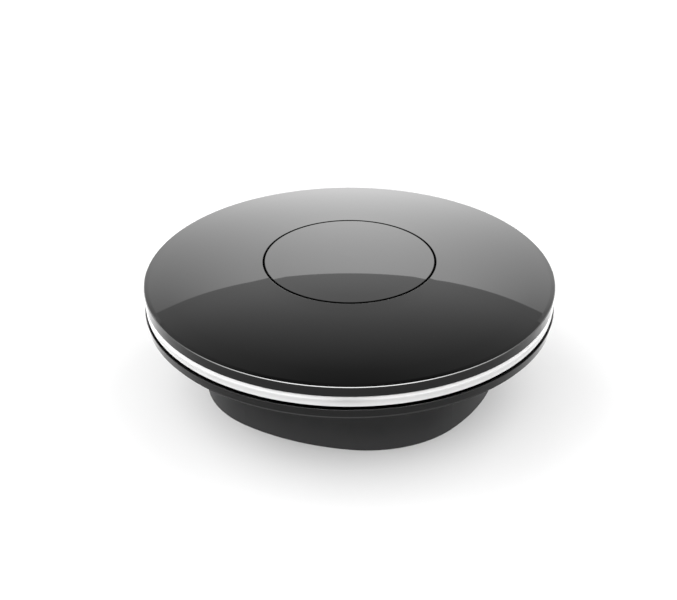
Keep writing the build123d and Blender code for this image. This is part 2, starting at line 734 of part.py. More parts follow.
with BuildPart() as crystal:
    with BuildSketch(Plane.XY.offset(z_main[1])):
        with Locations((8.0, 16.5)):
            RectangleRounded(5.0, 3.2, 0.5)
    extrude(amount=1.1)
    fillet(crystal.faces().sort_by(Axis.Z)[-1].edges(), 0.2)
crystal.part.label = "crystal"
export_step(crystal.part, "parts/crystal.step")

# LED driver transistors, one for each pair of lamps.
with BuildPart() as driver_transistors:
    with PolarLocations(35.5, 4, start_angle=45):
        with Locations((0, 0, z_main[1])):
            Box(1.4, 3.0, 1.1, align=(Align.CENTER, Align.CENTER, Align.MIN))
        with Locations((0.95, 0, z_main[1])):
            Box(0.5, 0.5, 0.4, align=(Align.CENTER, Align.CENTER, Align.MIN))
        with Locations((-0.95, 0.95, z_main[1]), (-0.95, -0.95, z_main[1])):
            Box(0.5, 0.5, 0.4, align=(Align.CENTER, Align.CENTER, Align.MIN))
driver_transistors.part.label = "driver_transistors"
export_step(driver_transistors.part, "parts/driver_transistors.step")

with BuildPart() as resistors:
    with PolarLocations(36.0, 8, start_angle=led_angles[0]):
        with Locations((-1.0, 0, z_main[1])):
            Box(1.25, 2.0, 0.5, align=(Align.CENTER, Align.CENTER, Align.MIN))
    with Locations(*[(22.5, -6.0 + 2.2 * k, z_main[1]) for k in range(5)]):
        Box(1.6, 0.8, 0.45, align=(Align.CENTER, Align.CENTER, Align.MIN))
resistors.part.label = "resistors"
export_step(resistors.part, "parts/resistors.step")

with BuildPart() as capacitors:
    with Locations(*[(10.0 + 2.4 * k, 2.6, z_main[1]) for k in range(5)]):
        Box(0.85, 1.6, 0.85, align=(Align.CENTER, Align.CENTER, Align.MIN))
    with Locations((-10.0, -12.0, z_main[1]), (-13.5, -12.0, z_main[1]), (-10.0, 13.0, z_main[1]), (-14.0, 13.0, z_main[1])):
        Box(2.0, 1.25, 1.0, align=(Align.CENTER, Align.CENTER, Align.MIN))
    with Locations((3.2, 16.5, z_main[1]), (12.6, 16.5, z_main[1])):
        Box(0.85, 1.6, 0.85, align=(Align.CENTER, Align.CENTER, Align.MIN))
capacitors.part.label = "capacitors"
export_step(capacitors.part, "parts/capacitors.step")

# ---------------------------------------------------------------------------
# Power board in the base
# ---------------------------------------------------------------------------

with BuildPart() as power_board:
    with BuildSketch(Plane.XY.offset(z_power[0])):
        with Locations((0, 3.0)):
            RectangleRounded(39.0, 58.0, 1.5)
        with Locations((-16.0, -22.5), (16.0, -22.5), (-16.0, 20.0), (16.0, 20.0)):
            Circle(1.1, mode=Mode.SUBTRACT)
        with Locations(header_at):
            with GridLocations(2.54, 2.54, 4, 2):
                Rectangle(0.7, 0.7, mode=Mode.SUBTRACT)
    extrude(amount=z_power[1] - z_power[0])
power_board.part.label = "power_board"
export_step(power_board.part, "parts/power_board.step")

# Board-to-board connector: long pins, two insulator bars and a socket.
with BuildPart() as header_pins:
    with Locations((header_at[0], header_at[1], 3.8)):
        with GridLocations(2.54, 2.54, 4, 2):
            Box(0.64, 0.64, 17.2, align=(Align.CENTER, Align.CENTER, Align.MIN))
header_pins.part.label = "header_pins"
export_step(header_pins.part, "parts/header_pins.step")

with BuildPart() as header_body:
    with BuildSketch(Plane.XY.offset(z_power[1])):
        with Locations(header_at):
            Rectangle(10.2, 5.1)
            with GridLocations(2.54, 2.54, 4, 2):
                Rectangle(0.7, 0.7, mode=Mode.SUBTRACT)
    extrude(amount=2.5)
    with BuildSketch(Plane.XY.offset(12.2)):
        with Locations(header_at):
            Rectangle(10.2, 5.1)
            with GridLocations(2.54, 2.54, 4, 2):
                Rectangle(0.7, 0.7, mode=Mode.SUBTRACT)
    extrude(amount=2.5)
header_body.part.label = "header_body"
export_step(header_body.part, "parts/header_body.step")

with BuildPart() as header_socket:
    with BuildSketch(Plane.XY.offset(14.8)):
        with Locations(header_at):
            Rectangle(10.6, 5.3)
    extrude(amount=z_main[0] - 14.8)
    with BuildSketch(Plane.XY.offset(14.8)):
        with Locations(header_at):
            with GridLocations(2.54, 2.54, 4, 2):
                Rectangle(0.8, 0.8)
    extrude(amount=6.8, mode=Mode.SUBTRACT)
header_socket.part.label = "header_socket"
export_step(header_socket.part, "parts/header_socket.step")

# Bulk capacitors: two aluminium cans with a crimp groove.
with BuildPart() as can_shape:
    with BuildSketch(Plane.XZ):
        with BuildLine():
            Polyline(
                (0, 0), (3.6, 0), (4.0, 0.4), (4.0, 1.6), (3.65, 2.0), (4.0, 2.4),
                (4.0, 10.6), (3.7, 11.0), (0, 11.0), (0, 0),
            )
        make_face()
    revolve(axis=Axis.Z)
with BuildPart() as bulk_capacitors:
    with Locations((-11.0, -13.5, z_power[1]), (-11.0, -4.0, z_power[1])):
        add(can_shape.part)
bulk_capacitors.part.label = "bulk_capacitors"
export_step(bulk_capacitors.part, "parts/bulk_capacitors.step")

with BuildPart() as inductor:
    with BuildSketch(Plane.XY.offset(z_power[1])):
        with Locations((9.5, 5.0)):
            RectangleRounded(7.3, 7.3, 1.4)
    extrude(amount=3.8)
    with BuildSketch(Plane.XY.offset(z_power[1] + 3.4)):
        with Locations((9.5, 5.0)):
            Circle(3.1)
            Circle(2.5, mode=Mode.SUBTRACT)
    extrude(amount=1, mode=Mode.SUBTRACT)
inductor.part.label = "inductor"
export_step(inductor.part, "parts/inductor.step")

with BuildPart() as regulator:
    with BuildSketch(Plane.XY.offset(z_power[1] + 0.1)):
        with Locations((-9.0, 9.5)):
            Rectangle(6.5, 5.6)
    extrude(amount=2.2)
    chamfer(regulator.faces().sort_by(Axis.Z)[-1].edges(), 0.3)
regulator.part.label = "regulator"
export_step(regulator.part, "parts/regulator.step")

with BuildPart() as regulator_leads:
    with Locations((-9.0, 12.3, z_power[1])):
        Box(5.3, 1.6, 0.5, align=(Align.CENTER, Align.MIN, Align.MIN))
    with Locations((-11.3, 6.7, z_power[1]), (-9.0, 6.7, z_power[1]), (-6.7, 6.7, z_power[1])):
        Box(0.8, 2.2, 0.5, align=(Align.CENTER, Align.MAX, Align.MIN))
regulator_leads.part.label = "regulator_leads"
export_step(regulator_leads.part, "parts/regulator_leads.step")

with BuildPart() as power_parts:
    with Locations((-2.5, 22.0, z_power[1]), (2.5, 22.0, z_power[1]), (8.0, 22.0, z_power[1])):
        Box(1.6, 3.2, 1.1, align=(Align.CENTER, Align.CENTER, Align.MIN))
    with Locations((8.5, 13.0, z_power[1]), (12.5, 13.0, z_power[1]), (1.0, 8.0, z_power[1]), (1.0, 3.0, z_power[1])):
        Box(2.6, 1.6, 0.9, align=(Align.CENTER, Align.CENTER, Align.MIN))
power_parts.part.label = "power_parts"
export_step(power_parts.part, "parts/power_parts.step")

# Micro-USB socket: sheet-metal shell, tongue and contacts.
sock_front = pocket_floor_y - 0.1
sock_back = sock_front - socket_size[1]
sw, sh = socket_size[0] / 2, socket_size[2]
z_sock = z_power[1]
with BuildPart() as usb_socket_shell:
    with BuildSketch(Plane.XZ.offset(-sock_back)):
        with BuildLine():
            Polyline(
                (-sw, z_sock + sh), (sw, z_sock + sh), (sw, z_sock + 1.0),
                (sw - 0.9, z_sock), (-sw + 0.9, z_sock), (-sw, z_sock + 1.0),
                (-sw, z_sock + sh),
            )
        make_face()
    extrude(amount=-socket_size[1])
    with BuildSketch(Plane.XZ.offset(-(sock_back + 0.3))):
        with BuildLine():
            Polyline(
                (-sw + 0.3, z_sock + sh - 0.3), (sw - 0.3, z_sock + sh - 0.3),
                (sw - 0.3, z_sock + 1.1), (sw - 1.05, z_sock + 0.3),
                (-sw + 1.05, z_sock + 0.3), (-sw + 0.3, z_sock + 1.1),
                (-sw + 0.3, z_sock + sh - 0.3),
            )
        make_face()
    extrude(amount=-6, mode=Mode.SUBTRACT)
usb_socket_shell.part.label = "usb_socket_shell"
export_step(usb_socket_shell.part, "parts/usb_socket_shell.step")

with BuildPart() as usb_socket_tongue:
    with Locations((0, sock_back + 0.3, z_sock + 1.55)):
        Box(3.7, 4.3, 0.6, align=(Align.CENTER, Align.MIN, Align.CENTER))
    with Locations((0, sock_back + 0.3, z_sock + 1.275)):
        Box(4.8, 0.9, 1.9, align=(Align.CENTER, Align.MIN, Align.CENTER))
usb_socket_tongue.part.label = "usb_socket_tongue"
export_step(usb_socket_tongue.part, "parts/usb_socket_tongue.step")

with BuildPart() as usb_contacts:
    with Locations(*[(-1.3 + 0.65 * k, sock_back + 1.2, z_sock + 1.25) for k in range(5)]):
        Box(0.3, 3.2, 0.12, align=(Align.CENTER, Align.MIN, Align.MAX))
usb_contacts.part.label = "usb_contacts"
export_step(usb_contacts.part, "parts/usb_contacts.step")
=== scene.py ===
import math

import bmesh
import bpy
import numpy as np
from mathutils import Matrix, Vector


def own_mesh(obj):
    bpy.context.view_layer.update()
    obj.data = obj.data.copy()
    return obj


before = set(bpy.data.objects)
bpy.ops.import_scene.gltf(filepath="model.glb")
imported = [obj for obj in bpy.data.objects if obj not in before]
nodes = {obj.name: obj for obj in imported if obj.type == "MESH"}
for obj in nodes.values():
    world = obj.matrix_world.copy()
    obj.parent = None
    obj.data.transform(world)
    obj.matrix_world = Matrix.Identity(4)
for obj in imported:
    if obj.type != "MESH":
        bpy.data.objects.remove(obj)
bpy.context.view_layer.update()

scene = bpy.context.scene

# --------------------------------------------------------------------------
# Camera: long lens, 29.1 degrees above the horizon, 24 degrees to the right
# of the module's front. The optical axis goes through the middle of the rim.
# --------------------------------------------------------------------------
AZ = math.radians(24.0)
EL = math.radians(29.105)
RIM_Z = 0.0298
DIST = 0.880
to_camera = Vector((math.sin(AZ) * math.cos(EL), -math.cos(AZ) * math.cos(EL), math.sin(EL)))
camera_data = bpy.data.cameras.new("camera")
camera = bpy.data.objects.new("camera", camera_data)
scene.collection.objects.link(camera)
camera.location = Vector((0, 0, RIM_Z)) + to_camera * DIST
camera.rotation_euler = (-to_camera).to_track_quat("-Z", "Y").to_euler()
camera_data.sensor_width = 36.0
camera_data.lens = 175.1
camera_data.shift_x = -0.01625
camera_data.shift_y = -0.02688
camera_data.clip_start = 0.01
camera_data.clip_end = 20.0
scene.camera = camera
scene.view_settings.view_transform = "Standard"
scene.view_settings.look = "None"
scene.view_settings.exposure = 0.0
scene.view_settings.gamma = 1.0

# --------------------------------------------------------------------------
# Node helpers. Val wraps an output socket, so that formulas read as formulas.
# --------------------------------------------------------------------------


class Val:
    def __init__(self, tree, socket):
        self.tree = tree
        self.socket = socket

    def op(self, name, other=None, swap=False, third=None, clamp=False):
        n = self.tree.nodes.new("ShaderNodeMath")
        n.operation = name
        n.use_clamp = clamp
        args = [self, other] if not swap else [other, self]
        if third is not None:
            args.append(third)
        for i, a in enumerate(args):
            if a is None:
                continue
            if isinstance(a, Val):
                self.tree.links.new(a.socket, n.inputs[i])
            else:
                n.inputs[i].default_value = float(a)
        return Val(self.tree, n.outputs[0])

    def __add__(self, o):
        return self.op("ADD", o)

    __radd__ = __add__

    def __sub__(self, o):
        return self.op("SUBTRACT", o)

    def __rsub__(self, o):
        return self.op("SUBTRACT", o, swap=True)

    def __mul__(self, o):
        return self.op("MULTIPLY", o)

    __rmul__ = __mul__

    def __truediv__(self, o):
        return self.op("DIVIDE", o)

    def __rtruediv__(self, o):
        return self.op("DIVIDE", o, swap=True)

    def __gt__(self, o):
        return self.op("GREATER_THAN", o)

    def __lt__(self, o):
        return self.op("LESS_THAN", o)

    def abs(self):
        return self.op("ABSOLUTE")

    def min(self, o):
        return self.op("MINIMUM", o)

    def max(self, o):
        return self.op("MAXIMUM", o)

    def sqrt(self):
        return self.op("SQRT")

    def exp(self):
        return self.op("EXPONENT")

    def frac(self):
        return self.op("FRACT")

    def floor(self):
        return self.op("FLOOR")

    def clamp(self, lo=0.0, hi=1.0):
        return self.max(lo).min(hi)

    def smooth(self, lo, hi):
        """0 below lo, 1 above hi, eased between."""
        t = ((self - lo) / (hi - lo)).clamp()
        return t * t * (3.0 - 2.0 * t)


def lerp(a, b, t):
    return a + (b - a) * t


def ramp(tree, fac, stops, interpolation="LINEAR"):
    n = tree.nodes.new("ShaderNodeValToRGB")
    n.color_ramp.interpolation = interpolation
    while len(n.color_ramp.elements) > 1:
        n.color_ramp.elements.remove(n.color_ramp.elements[-1])
    for k, (pos, col) in enumerate(stops):
        if isinstance(col, (int, float)):
            col = (col, col, col)
        e = n.color_ramp.elements[0] if k == 0 else n.color_ramp.elements.new(pos)
        e.position = pos
        e.color = (*col, 1.0)
    tree.links.new(fac.socket, n.inputs[0])
    return Val(tree, n.outputs[0])


def mix_colour(tree, fac, a, b):
    n = tree.nodes.new("ShaderNodeMix")
    n.data_type = "RGBA"
    for socket, v in ((n.inputs[0], fac), (n.inputs[6], a), (n.inputs[7], b)):
        if isinstance(v, Val):
            tree.links.new(v.socket, socket)
        elif isinstance(v, (int, float)):
            socket.default_value = float(v)
        else:
            socket.default_value = (*v, 1.0)
    return Val(tree, n.outputs[2])


# --------------------------------------------------------------------------
# Studio, as the world: pale walls up to 34 degrees above the horizon that
# are brightest behind the module and at its sides, a ceiling that darkens
# upwards, and a long soft strip above the camera that only gloss shows.
# --------------------------------------------------------------------------
STRIP = 40.0
world = bpy.data.worlds.new("studio")
scene.world = world
world.use_nodes = True
wt = world.node_tree
wt.nodes.clear()
coord = wt.nodes.new("ShaderNodeTexCoord")
sep = wt.nodes.new("ShaderNodeSeparateXYZ")
wt.links.new(coord.outputs["Generated"], sep.inputs[0])
wx, wy, wz = (Val(wt, sep.outputs[k]) for k in ("X", "Y", "Z"))
right = wx * math.cos(AZ) + wy * math.sin(AZ)
behind = wy * math.cos(AZ) - wx * math.sin(AZ)
flat = (right * right + behind * behind).sqrt().max(1e-4)
facing = 0.0 - behind / flat                       # 1 towards the camera's side
azim = right.op("ARCTAN2", behind) * (180 / math.pi)   # 0 straight behind
elev = wz.op("ARCSINE") * (180 / math.pi)
off = (azim.abs() - 25.0) / 7.0
off = off.clamp()
off = off * off * (3.0 - 2.0 * off)                # 0 behind the module, 1 elsewhere

# the back wall and the ceiling above it
u = (elev / 30.0).clamp(-0.15, 1.2)
v = (azim / 20.0).clamp(-1.3, 1.3)
v2 = v * v
back_wall = (
    0.8384 + 0.6766 * u - 0.1134 * u * u
    + (0.0699 + 0.0208 * u) * v
    + (1.1433 * u - 1.6905) * v2
    + (0.9691 - 1.0636 * u) * v2 * v2
).exp()
cu = ((elev - 35.0) / 30.0).clamp(0.0, 0.88)
vc = (azim / 20.0).clamp(-1.2, 1.2)
vc2 = vc * vc
back_ceiling = (
    0.6166 + 0.0600 * cu - 5.2195 * cu * cu + 8.6390 * cu * cu * cu - 6.4895 * cu * cu * cu * cu
    + (-0.0083 + 0.0104 * cu) * vc + (-0.0544 * cu - 0.3881) * vc2 - 0.0578 * vc2 * vc2
).exp()
# the rest of the room
turn = azim / 360.0 + 0.5
low_stops = [(-180, 2.53), (-150, 2.80), (-120, 3.21), (-90, 4.01), (-60, 4.95), (-35, 5.2), (0, 4.4), (35, 3.7), (60, 3.51), (90, 3.03), (120, 2.47), (150, 2.29), (180, 2.53)]
up_stops = [(-180, 1.53), (-150, 1.59), (-120, 1.59), (-90, 1.82), (-60, 2.23), (-30, 2.40), (0, 2.5), (30, 2.58), (60, 2.34), (90, 1.89), (120, 1.60), (150, 1.46), (180, 1.53)]
room_wall = ramp(wt, turn, [(a / 360 + 0.5, r / 8) for a, r in low_stops]) * 8.0
room_ceiling = ramp(wt, turn, [(a / 360 + 0.5, r / 8) for a, r in up_stops]) * 8.0
room_ceiling = room_ceiling * ramp(wt, (elev / 90.0).clamp(), [(0.0, 1.0), (34 / 90, 1.0), (45 / 90, 0.9), (55 / 90, 0.65), (65 / 90, 0.35), (75 / 90, 0.12), (1.0, 0.03)])
wall = lerp(back_wall, room_wall, off)
off_high = ((azim.abs() - 42.0) / 16.0).clamp()
off_high = off_high * off_high * (3.0 - 2.0 * off_high)
wall_top = 34.03 - 2.75 * v2 + 1.45 * v2 * v2
path = wt.nodes.new("ShaderNodeLightPath")
is_gloss = Val(wt, path.outputs["Is Glossy Ray"])
is_camera = Val(wt, path.outputs["Is Camera Ray"])
ceiling = lerp(back_ceiling, room_ceiling, lerp(off, off_high, is_gloss))
ceiling = ceiling * (1.0 + 0.6 * ((36.0 - elev) / 1.5).clamp() * ((azim.abs() - 23.0) / 4.0).clamp() * is_gloss)
side_top = 34.0 - is_gloss * ((azim.abs() - 45.0) / 20.0).clamp() * 8.0
room = lerp(wall, ceiling, elev > lerp(wall_top, side_top, off))
# soft strip above the camera, seen by gloss alone
strip_at = 50.2 + 31.64 * facing - 15.88 * facing * facing + 4.24 * facing * facing * facing
strip = (((3.4 - (elev - strip_at).abs()) / 1.2).clamp()) * ((facing + 0.42) / 1.0).clamp() * STRIP
strength = room + strip * is_gloss
strength = strength.max(is_camera * 1.3)
background = wt.nodes.new("ShaderNodeBackground")
background.inputs["Color"].default_value = (1, 1, 1, 1)
wt.links.new(strength.socket, background.inputs["Strength"])
out = wt.nodes.new("ShaderNodeOutputWorld")
wt.links.new(background.outputs[0], out.inputs["Surface"])

# --------------------------------------------------------------------------
# Floor: a round sheet of white paper
# --------------------------------------------------------------------------


def mesh_object(name, bm, material=None):
    me = bpy.data.meshes.new(name)
    bm.normal_update()
    bm.to_mesh(me)
    bm.free()
    o = bpy.data.objects.new(name, me)
    scene.collection.objects.link(o)
    if material:
        me.materials.append(material)
    return o


floor_mat = bpy.data.materials.new("floor_paper")
floor_mat.use_nodes = True
ft = floor_mat.node_tree
fb = ft.nodes["Principled BSDF"]
fb.inputs["Roughness"].default_value = 1.0
fb.inputs["Specular IOR Level"].default_value = 0.0
fb.inputs["Base Color"].default_value = (0.8, 0.8, 0.8, 1)
fb.inputs["Emission Color"].default_value = (1, 1, 1, 1)
floor_coord = ft.nodes.new("ShaderNodeTexCoord")
floor_sep = ft.nodes.new("ShaderNodeSeparateXYZ")
ft.links.new(floor_coord.outputs["Object"], floor_sep.inputs[0])
floor_x, floor_y = (Val(ft, floor_sep.outputs[k]) * 1000.0 for k in ("X", "Y"))
floor_behind = floor_y * math.cos(AZ) - floor_x * math.sin(AZ)
floor_path = ft.nodes.new("ShaderNodeLightPath")
# the paper behind the module is lit well beyond white and the paper in front
# a little less, which gloss shows
in_gloss = Val(ft, floor_path.outputs["Is Glossy Ray"])
floor_glow = ((floor_behind + 3.0) * 0.022).clamp(0.0, 1.0) * in_gloss
ft.links.new(floor_glow.socket, fb.inputs["Emission Strength"])
floor_tone = 0.8 * lerp(1.0, lerp(0.70, 1.0, floor_behind.smooth(-45.0, 2.0)), in_gloss)
floor_r = (floor_x * floor_x + floor_y * floor_y).sqrt()
# painted light: a faint band of brighter paper colour about 50 mm from the axis lifts the shadow round the module
light_ring = (floor_r - 50.0) / 10.0
floor_tone = floor_tone * (1.0 + 0.045 * (0.0 - light_ring * light_ring).exp())
ft.links.new(floor_tone.socket, fb.inputs["Base Color"])
bm = bmesh.new()
FLOOR_R = 0.56
rings = [[bm.verts.new((0, 0, 0))]]
for k in range(1, 15):
    r = FLOOR_R * k / 14
    rings.append([bm.verts.new((r * math.cos(2 * math.pi * j / 96), r * math.sin(2 * math.pi * j / 96), 0.0)) for j in range(96)])
for j in range(96):
    bm.faces.new((rings[0][0], rings[1][j], rings[1][(j + 1) % 96]))
    for k in range(1, 14):
        bm.faces.new((rings[k][j], rings[k + 1][j], rings[k + 1][(j + 1) % 96], rings[k][(j + 1) % 96]))
floor = mesh_object("floor", bm, floor_mat)

# --------------------------------------------------------------------------
# Materials
# --------------------------------------------------------------------------


class Finish:
    """A material being built: its tree, its shader, and object coordinates in
    millimetres."""

    def __init__(self, name, **fixed):
        self.mat = bpy.data.materials.new(name)
        self.mat.use_nodes = True
        self.tree = self.mat.node_tree
        self.bsdf = self.tree.nodes["Principled BSDF"]
        for k, value in fixed.items():
            socket = self.bsdf.inputs[k.replace("_", " ")]
            if isinstance(value, tuple):
                socket.default_value = (*value, 1.0) if len(socket.default_value) == 4 else value
            else:
                socket.default_value = value
        tc = self.tree.nodes.new("ShaderNodeTexCoord")
        self.coord = tc.outputs["Object"]
        s = self.tree.nodes.new("ShaderNodeSeparateXYZ")
        self.tree.links.new(self.coord, s.inputs[0])
        self.x, self.y, self.z = (Val(self.tree, s.outputs[k]) * 1000.0 for k in ("X", "Y", "Z"))
        sn = self.tree.nodes.new("ShaderNodeSeparateXYZ")
        self.tree.links.new(tc.outputs["Normal"], sn.inputs[0])
        self.nx, self.ny, self.nz = (Val(self.tree, sn.outputs[k]) for k in ("X", "Y", "Z"))

    def vector(self, x, y, z):
        n = self.tree.nodes.new("ShaderNodeCombineXYZ")
        for k, value in enumerate((x, y, z)):
            if isinstance(value, Val):
                self.tree.links.new(value.socket, n.inputs[k])
            else:
                n.inputs[k].default_value = float(value)
        return n.outputs[0]

    def noise(self, size, detail=3.0, rough=0.5, at=None, distort=0.0):
        """Noise whose features are about size millimetres."""
        n = self.tree.nodes.new("ShaderNodeTexNoise")
        n.inputs["Scale"].default_value = (1000.0 if at is None else 1.0) / size
        n.inputs["Detail"].default_value = detail
        n.inputs["Roughness"].default_value = rough
        n.inputs["Distortion"].default_value = distort
        self.tree.links.new(self.coord if at is None else at, n.inputs["Vector"])
        return Val(self.tree, n.outputs["Fac"])

    def cells(self, size, at=None, feature="F1", metric="EUCLIDEAN"):
        n = self.tree.nodes.new("ShaderNodeTexVoronoi")
        n.feature = feature
        if feature != "DISTANCE_TO_EDGE":
            n.distance = metric
        n.inputs["Scale"].default_value = (1000.0 if at is None else 1.0) / size
        self.tree.links.new(self.coord if at is None else at, n.inputs["Vector"])
        return Val(self.tree, n.outputs["Distance"])

    def hash(self, x, y):
        n = self.tree.nodes.new("ShaderNodeTexWhiteNoise")
        n.noise_dimensions = "3D"
        self.tree.links.new(self.vector(x, y, 0.37), n.inputs["Vector"])
        return Val(self.tree, n.outputs["Value"])

    def colour(self, value):
        self.tree.links.new(value.socket, self.bsdf.inputs["Base Color"])

    def rough(self, value):
        self.tree.links.new(value.socket, self.bsdf.inputs["Roughness"])

    def metal(self, value):
        self.tree.links.new(value.socket, self.bsdf.inputs["Metallic"])

    def relief(self, height, depth, strength=1.0):
        """Bump from a 0..1 height, depth in millimetres."""
        n = self.tree.nodes.new("ShaderNodeBump")
        n.inputs["Strength"].default_value = strength
        n.inputs["Distance"].default_value = depth / 1000.0
        self.tree.links.new(height.socket, n.inputs["Height"])
        self.tree.links.new(n.outputs["Normal"], self.bsdf.inputs["Normal"])

    def tones(self, fac, lo, hi, a=0.3, b=0.7):
        return ramp(self.tree, fac, [(a, lo), (b, hi)])


def shade(c, f):
    return tuple(min(1.0, k * f) for k in c)


def gloss_black(name, seed):
    """High-gloss black moulding: clear reflections, a trace of flow in the polish and a few specks of fine dust.
    Inside the groove round the button the colour is painted shade: near-black, matt, with no reflection."""
    f = Finish(name, IOR=1.4)
    flow = f.noise(9.0 + seed, 3.0)
    specks = f.cells(2.6, feature="F1")
    dust = 1.0 - specks.smooth(0.018, 0.045)
    # painted shade: the walls of the groove round the button are coloured near-black, matt and without reflection,
    # where shade falls in the recess
    radius = (f.x * f.x + f.y * f.y).sqrt()
    groove = (radius - 22.855).abs() < 0.33
    skin = mix_colour(f.tree, dust * 0.08, f.tones(flow, (0.0003, 0.0003, 0.0003), (0.0006, 0.0006, 0.00065)), (0.20, 0.20, 0.20))
    f.colour(mix_colour(f.tree, groove, skin, (0.0002, 0.0002, 0.0002)))
    f.metal(groove)
    f.rough(lerp(lerp(0.012, 0.028, flow) + dust * 0.25, 0.7, groove))
    return f.mat


def shell_black():
    """One black moulding with two finishes: its side band is polished, and the base below it has a fine spark-eroded
    grain. The base is painted lighter towards the floor: painted light where the overhanging disc shades it less."""
    f = Finish("shell_black", IOR=1.38)
    radius = (f.x * f.x + f.y * f.y).sqrt()
    disc = (radius > 52.4) * (f.z > 19.70)
    # painted light: 1 near the floor, 0 from 8.5 mm up, where the disc above shades the base more
    painted_light_near_floor = 1.0 - f.z.smooth(-1.5, 8.5)
    grain = f.noise(0.16, 3.0, 0.6)
    broad = f.noise(6.0, 2.0)
    base = f.tones(broad, (0.0045, 0.0045, 0.0047), (0.0072, 0.0072, 0.0075))
    polish = f.tones(f.noise(9.0), (0.0003, 0.0003, 0.0003), (0.0006, 0.0006, 0.00065))
    # painted light: the base colour rises to 0.02 towards the floor
    base = mix_colour(f.tree, painted_light_near_floor, base, (0.0200, 0.0200, 0.0205))
    f.colour(mix_colour(f.tree, disc, base, polish))
    f.rough(lerp(lerp(0.42, 0.52, grain), 0.02, disc))
    f.relief(grain * (1.0 - disc), 0.010, 0.6)
    return f.mat


def matt_black(name, base, grain_size, depth, rough):
    f = Finish(name, IOR=1.48)
    grain = f.noise(grain_size, 4.0, 0.6)
    broad = f.noise(8.0, 2.0)
    f.colour(f.tones(broad, shade(base, 0.85), shade(base, 1.15)))
    f.rough(lerp(rough - 0.06, rough + 0.06, grain))
    f.relief(grain, depth, 0.8)
    return f.mat


def ring_milky():
    """Milky two-lipped light guide, faintly cloudy inside. Its colour carries painted light and shade: painted
    highlights along the upper lip and the lower edge, painted shade in the crease between them and under the cover's
    edge, and painted shade on the side that faces the camera."""
    f = Finish("ring_milky", IOR=1.49, Subsurface_Weight=0.2, Subsurface_Scale=0.0003, Subsurface_Radius=(1.0, 1.0, 1.0))
    cloud = f.noise(1.4, 3.0)
    height = (f.z - 23.45) / 3.5
    # painted light and shade by height: brighter upper lip and lower edge, a darker crease, darker under the cover's
    # edge
    ring_tone_with_painted_light = ramp(f.tree, height, [(0.0, 0.47), (0.06, 0.50), (0.15, 0.50), (0.32, 0.45), (0.47, 0.41), (0.57, 0.41), (0.64, 0.49), (0.72, 0.57), (0.81, 0.53), (0.87, 0.49), (0.97, 0.47), (1.0, 0.45)])
    # painted shade: the side of the ring that faces the camera is darkened, strongest a little above mid-height
    camera_side_shade = f.y.op("ARCTAN2", f.x) * (180 / math.pi) - (math.degrees(AZ) - 90.0)
    camera_side_shade = (0.0 - (camera_side_shade / 7.0) * (camera_side_shade / 7.0)).exp()
    # how strong the painted camera-side shade is at each height
    shade_depth_by_height = ramp(f.tree, height, [(0.0, 0.06), (0.2, 0.08), (0.42, 0.10), (0.56, 0.16), (0.64, 0.28), (0.74, 0.30), (0.84, 0.14), (0.92, 0.05), (1.0, 0.0)])
    ring_tone_with_painted_light = ring_tone_with_painted_light * (1.0 - camera_side_shade * shade_depth_by_height)
    f.colour(ring_tone_with_painted_light * lerp(0.97, 1.03, cloud))
    f.rough(lerp(0.16, 0.24, cloud))
    return f.mat


def rubber():
    """Soft foot pad with a fine leather-like grain and pale dust in it."""
    f = Finish("rubber_black", IOR=1.5)
    crack = f.cells(0.9, feature="DISTANCE_TO_EDGE")
    fine = f.noise(0.12, 3.0)
    height = crack.smooth(0.02, 0.16) * 0.8 + fine * 0.2
    f.colour(mix_colour(f.tree, 1.0 - crack.smooth(0.02, 0.10), f.tones(fine, (0.016, 0.016, 0.016), (0.024, 0.024, 0.024)), (0.045, 0.045, 0.044)))
    f.rough(lerp(0.62, 0.8, fine))
    f.relief(height, 0.05, 0.8)
    return f.mat


def white_plastic():
    f = Finish("white_plastic", IOR=1.5)
    grain = f.noise(0.2, 3.0)
    broad = f.noise(5.0, 2.0)
    f.colour(f.tones(broad, (0.80, 0.80, 0.79), (0.88, 0.88, 0.87)))
    f.rough(lerp(0.5, 0.62, grain))
    f.relief(grain, 0.01, 0.5)
    return f.mat


def metal(name, base, rough, stretch=(1.0, 1.0, 1.0), size=0.25, stain=0.12, depth=0.004):
    """Plated or drawn metal: fine directional lines, slight staining."""
    f = Finish(name, Metallic=1.0)
    lines = f.noise(size, 4.0, 0.65, at=f.vector(f.x * stretch[0], f.y * stretch[1], f.z * stretch[2]))
    cloud = f.noise(2.2, 3.0)
    tone = lines * 0.5 + cloud * 0.5
    f.colour(f.tones(tone, shade(base, 1 - stain), shade(base, 1 + stain)))
    f.rough(lerp(rough * 0.7, rough * 1.35, tone))
    f.relief(lines, depth, 0.7)
    return f.mat


